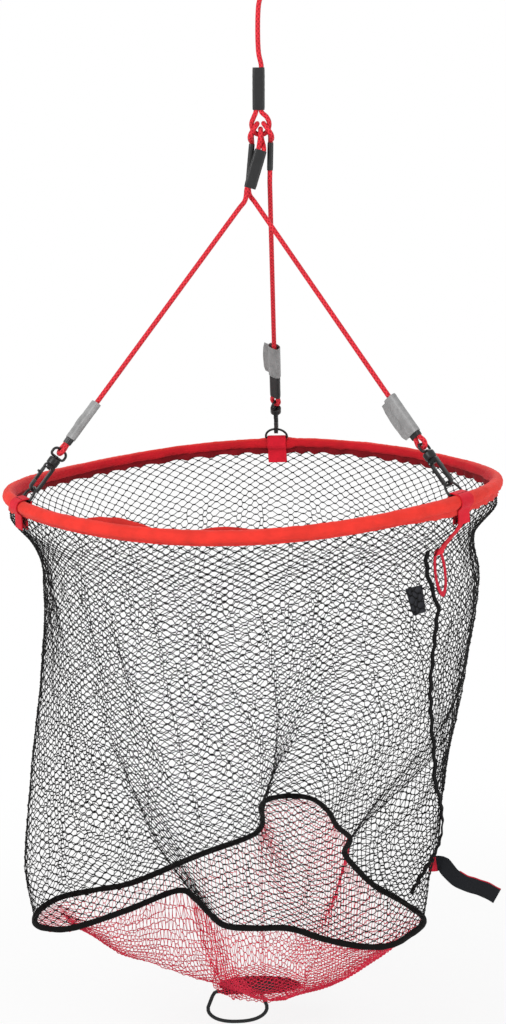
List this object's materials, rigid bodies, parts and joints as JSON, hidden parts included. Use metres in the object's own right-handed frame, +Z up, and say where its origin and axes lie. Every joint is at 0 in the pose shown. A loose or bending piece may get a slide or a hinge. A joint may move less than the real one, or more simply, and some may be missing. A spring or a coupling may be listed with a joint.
{
  "type": "drop net",
  "caption": "Drop net: hooped netting bag with a mesh floor, hung from a three-leg cord bridle with swivel snap hooks and a hand loop.",
  "frame": {"origin": "inside top of the hand loop, the point that holds the net up, above the hoop's centre", "axes": "+Z up along the hanging net, +X to the right and +Y away in the picture, whose camera is turned about 7 degrees"},
  "size_m": [0.6152, 0.6172, 1.4523],
  "materials": {
    "red_fabric": "matt woven red fabric",
    "red_cord": "matt braided red cord",
    "red_net": "matt knotted red netting",
    "black_net": "matt knotted black netting",
    "black_tape": "matt black binding tape",
    "black_webbing": "matt black webbing",
    "label_grey": "matt dark grey",
    "black_metal": "black satin",
    "spring_steel": "plain spring steel",
    "shrink_tube": "black heat-shrink tube",
    "grey_tape": "grey film with a soft sheen"
  },
  "bodies": {
    "net": {"hoop_sleeve": "red_fabric", "hoop_wire": "spring_steel", "hoop_ferrule": "spring_steel", "net_wall": "black_net", "net_floor": "red_net", "bottom_seam": "black_tape", "side_seam_tape": "black_tape", "oval_patch": "red_fabric", "side_label": "label_grey", "base_patch": "black_webbing", "handle_keeper": "black_webbing", "haul_line": "red_cord", "haul_shrink": "shrink_tube", "hand_loop_shrink": "shrink_tube", "webbing_tab_rear": "red_fabric", "snap_hook_rear": "black_metal", "gate_pin_rear": "spring_steel", "leg_cord_rear": "red_cord", "upper_shrink_rear": "shrink_tube", "webbing_tab_left": "red_fabric", "snap_hook_left": "black_metal", "gate_pin_left": "spring_steel", "leg_cord_left": "red_cord", "upper_shrink_left": "shrink_tube", "webbing_tab_right": "red_fabric", "snap_hook_right": "black_metal", "gate_pin_right": "spring_steel", "leg_cord_right": "red_cord", "upper_shrink_right": "shrink_tube"},
    "ring_rear": {"d_ring_rear": "black_metal"},
    "gate_rear": {"hook_gate_rear": "black_metal"},
    "swivel_rear": {"swivel_bail_rear": "black_metal", "lower_eye_rear": "red_cord", "lower_shrink_rear": "shrink_tube"},
    "wrap_rear": {"tape_wrap_rear": "grey_tape"},
    "ring_left": {"d_ring_left": "black_metal"},
    "gate_left": {"hook_gate_left": "black_metal"},
    "swivel_left": {"swivel_bail_left": "black_metal", "lower_eye_left": "red_cord", "lower_shrink_left": "shrink_tube"},
    "wrap_left": {"tape_wrap_left": "grey_tape"},
    "ring_right": {"d_ring_right": "black_metal"},
    "gate_right": {"hook_gate_right": "black_metal"},
    "swivel_right": {"swivel_bail_right": "black_metal", "lower_eye_right": "red_cord", "lower_shrink_right": "shrink_tube"},
    "wrap_right": {"tape_wrap_right": "grey_tape"},
    "handle": {"base_handle": "black_webbing"},
    "strap": {"closing_strap": "black_webbing"}
  },
  "joints": [
    {"name": "ring_rear_tilt", "type": "hinge", "parent": "net", "child": "ring_rear", "pos_m": [-0.03118, 0.28968, -0.72408], "axis": [-1, 0, 0], "range_deg": [-4, 4]},
    {"name": "gate_rear_open", "type": "hinge", "parent": "net", "child": "gate_rear", "pos_m": [-0.02807, 0.25639, -0.69019], "axis": [-0.9975, -0.0432, 0.0553], "range_deg": [-17, 0], "stiffness_Nm_per_rad": 0.01, "springref_deg": 17.19},
    {"name": "swivel_rear_turn", "type": "hinge", "parent": "net", "child": "swivel_rear", "pos_m": [-0.03016, 0.27893, -0.71031], "axis": [0.0702, -0.6136, 0.7865], "continuous": true},
    {"name": "wrap_rear_slide", "type": "slide", "parent": "swivel_rear", "child": "wrap_rear", "axis": [0.0702, -0.6136, 0.7865], "range_m": [-0.04, 0.236]},
    {"name": "ring_left_tilt", "type": "hinge", "parent": "net", "child": "ring_left", "pos_m": [-0.28491, -0.15022, -0.72442], "axis": [0.5, -0.866, 0], "range_deg": [-4, 4]},
    {"name": "gate_left_open", "type": "hinge", "parent": "net", "child": "gate_left", "pos_m": [-0.26131, -0.13709, -0.68523], "axis": [0.4945, -0.8692, -0.0073], "range_deg": [0, 17], "stiffness_Nm_per_rad": 0.01, "springref_deg": -17.19},
    {"name": "swivel_left_turn", "type": "hinge", "parent": "net", "child": "swivel_left", "pos_m": [-0.27488, -0.14459, -0.71123], "axis": [0.5739, 0.3202, 0.7537], "continuous": true},
    {"name": "wrap_left_slide", "type": "slide", "parent": "swivel_left", "child": "wrap_left", "axis": [0.5739, 0.3202, 0.7537], "range_m": [-0.007, 0.264]},
    {"name": "ring_right_tilt", "type": "hinge", "parent": "net", "child": "ring_right", "pos_m": [0.22264, -0.15027, -0.72434], "axis": [0.5, 0.866, 0], "range_deg": [-4, 4]},
    {"name": "gate_right_open", "type": "hinge", "parent": "net", "child": "gate_right", "pos_m": [0.19313, -0.13192, -0.6918], "axis": [0.5143, 0.8574, -0.0196], "range_deg": [-17, 0], "stiffness_Nm_per_rad": 0.01, "springref_deg": 17.19},
    {"name": "swivel_right_turn", "type": "hinge", "parent": "net", "child": "swivel_right", "pos_m": [0.21302, -0.14429, -0.711], "axis": [-0.5476, 0.3459, 0.7619], "continuous": true},
    {"name": "wrap_right_slide", "type": "slide", "parent": "swivel_right", "child": "wrap_right", "axis": [-0.5476, 0.3459, 0.7619], "range_m": [-0.005, 0.269]},
    {"name": "handle_swing", "type": "hinge", "parent": "net", "child": "handle", "pos_m": [-0.07418, -0.00873, -1.4021], "axis": [0.9929, 0.1188, 0], "range_deg": [-50, 50]},
    {"name": "strap_fold", "type": "hinge", "parent": "net", "child": "strap", "pos_m": [0.18639, -0.11747, -1.18643], "axis": [0.0868, 0.0395, 0.9954], "range_deg": [-20, 80], "stiffness_Nm_per_rad": 0.01}
  ]
}
